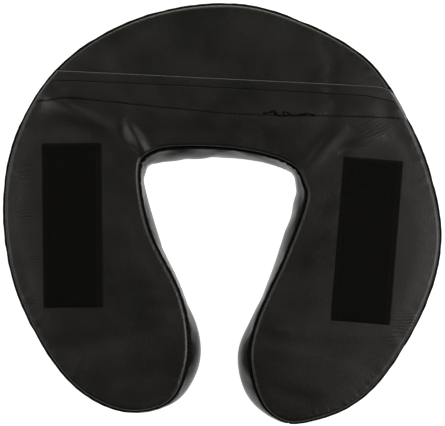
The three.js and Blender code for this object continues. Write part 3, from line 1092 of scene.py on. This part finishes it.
def build():
    foam = piece(foam_core(), "foam_core")
    back = back_panel(BACK_LEATHER_PAINTED_SHADE)
    cap = cap_panel(BACK_LEATHER_PAINTED_SHADE)
    back_tree, cap_tree = tree_of(back), tree_of(cap)
    face = face_panel(LEATHER)
    inner = boxing_strip("inner_boxing_leather", RIGHT_TIP, LEFT_TIP, INNER_LEATHER_PAINTED_SHADE)
    outer = boxing_strip("outer_boxing_leather", LEFT_TIP, RIGHT_TIP, OUTER_LEATHER_PAINTED_SHADE)
    outline = cut_outline(EDGE_REACH, (BACK_TOP_Z - BACK_SEAM_Z) * EDGE_SHARE)
    below_fold = outline[outline[:, 1] < line_y(FOLD_LINE, outline[:, 0])]
    for obj, cad_node, cut in (
            (back, "back_panel", cut_from(below_fold)),
            (cap, "back_cap_panel", cut_from(outline[outline[:, 1] > CAP_TUCK_Y])),
            (face, "face_panel", cut_from(cut_outline(FACE_REACH, FACE_SEAM_Z))),
            (inner, "inner_boxing", cut_strip(RIGHT_TIP, LEFT_TIP)),
            (outer, "outer_boxing", cut_strip(LEFT_TIP, RIGHT_TIP))):
        piece(obj, cad_node)
    piece(seam_stitches("back_seam_stitching", BACK_SEAM_Z + 0.1, THREAD), "back_seam_thread")
    piece(seam_stitches("face_seam_stitching", FACE_SEAM_Z - 0.1, THREAD), "face_seam_thread")
    piece(tip_stitches("left_tip_stitching", LEFT_TIP, THREAD), "left_tip_seam_thread")
    piece(tip_stitches("right_tip_stitching", RIGHT_TIP, THREAD), "right_tip_seam_thread")
    piece(lap_stitches("lap_upper_stitching", UPPER_STITCH, back_tree, THREAD), "lap_upper_stitch")
    lower = joined("lap_lower_stitching", [
        lap_stitches("lap_lower_row", LOWER_STITCH, back_tree, THREAD), backtack(back_tree, THREAD)])
    piece(lower, "lap_lower_stitch")
    piece(closure_tape("closure_loop_pile", LOOP_TAPE_Z, cap_tree, LOOP), "closure_loop_tape")
    piece(closure_tape("closure_hooks", HOOK_TAPE_Z, cap_tree, HOOK), "closure_hook_tape")
    for side, lean in STRIPS:
        strip = hook_strip(side, lean, back_tree, HOOK)
        piece(strip, f"{side}_hook_strip")
        piece(strip_stitches(side, lean, tree_of(strip), THREAD), f"{side}_strip_stitch")


build()


# -------- studio

FLOOR_GLOW = 0.99
FLOOR_Z, FLOOR_REACH = -0.1, 3000
WORLD_LEVEL, HORIZON_LEVEL = 0.032, 1.0
AIM = (0, 0, 40)  # where the panel lights point
CAMERA_PLACE, CAMERA_TURN = (-0.39, -1.81, BACK_TOP_Z + 1200), 3  # its turn is in degrees
WARM_LEFT, WARM_RIGHT, GREENISH = (1, 0.96, 0.92), (1, 0.95, 0.93), (1, 1, 0.86)
LIGHTS = [  # name, place, size, watts and colour
    ("left_panel", (-880, 0, 1050), (700, 700), 4.9, WARM_LEFT),
    ("right_panel", (880, -60, 1050), (700, 700), 9.8, WARM_RIGHT),
    ("far_low_panel", (0, 1200, 320), (1200, 500), 7.5, GREENISH),
    ("far_high_panel", (0, 900, 950), (600, 600), 1.0, GREENISH),
]


def studio_floor():
    """A wide white floor that glows like a lit paper backdrop."""
    material, tree, shader = node_material("white_paper")
    tone = mixed_colour(tree, noise(tree, millimetres(tree), 60), (0.43, 0.43, 0.43), (0.46, 0.46, 0.46))
    tree.links.new(tone, shader.inputs["Base Color"])
    shader.inputs["Roughness"].default_value = 0.9
    shader.inputs["Emission Color"].default_value = (1, 1, 1, 1)
    shader.inputs["Emission Strength"].default_value = FLOOR_GLOW
    corners = [(x * FLOOR_REACH, y * FLOOR_REACH, FLOOR_Z) for x, y in ((-1, -1), (1, -1), (1, 1), (-1, 1))]
    make_object("studio_floor", corners, [[0, 1, 2, 3]], material, smooth=False)


def studio_world():
    """Dim above, brighter near the horizon and at the cushion's closed end, like a white room by a window."""
    world = bpy.data.worlds.new("studio")
    bpy.context.scene.world = world
    world.use_nodes = True
    tree = world.node_tree
    background = tree.nodes["Background"]
    background.inputs["Color"].default_value = (*GREENISH, 1)
    coordinates = node(tree, "ShaderNodeTexCoord")
    split = node(tree, "ShaderNodeSeparateXYZ")
    tree.links.new(coordinates.outputs["Generated"], split.inputs[0])
    by_height = ranged(tree, split.outputs["Z"], HORIZON_LEVEL, WORLD_LEVEL, 0.0, 0.6)
    by_side = ranged(tree, split.outputs["Y"], 0.3, 1.2, -0.6, 0.2)
    tree.links.new(combined(tree, "MULTIPLY", by_height, by_side), background.inputs["Strength"])


def soft_light(name, place, size, power, colour):
    """A large soft panel light that faces AIM."""
    light = bpy.data.lights.new(name, "AREA")
    light.shape = "RECTANGLE"
    light.size, light.size_y = (s * MM for s in size)
    light.energy = power
    light.color = colour
    obj = bpy.data.objects.new(name, light)
    obj.location = Vector(place) * MM
    obj.rotation_euler = (Vector(place) - Vector(AIM)).to_track_quat("Z", "Y").to_euler()
    bpy.context.scene.collection.objects.link(obj)


def camera():
    """Straight down at the cushion's back, turned as in the photograph."""
    lens = bpy.data.cameras.new("camera")
    lens.sensor_width = 36
    lens.lens = 144.9
    lens.clip_end = 20
    obj = bpy.data.objects.new("camera", lens)
    obj.location = [c * MM for c in CAMERA_PLACE]
    obj.rotation_euler = (0, 0, math.radians(CAMERA_TURN))
    bpy.context.scene.collection.objects.link(obj)
    bpy.context.scene.camera = obj


studio_floor()
studio_world()
for light_settings in LIGHTS:
    soft_light(*light_settings)
camera()
bpy.context.scene.view_settings.view_transform = "Standard"
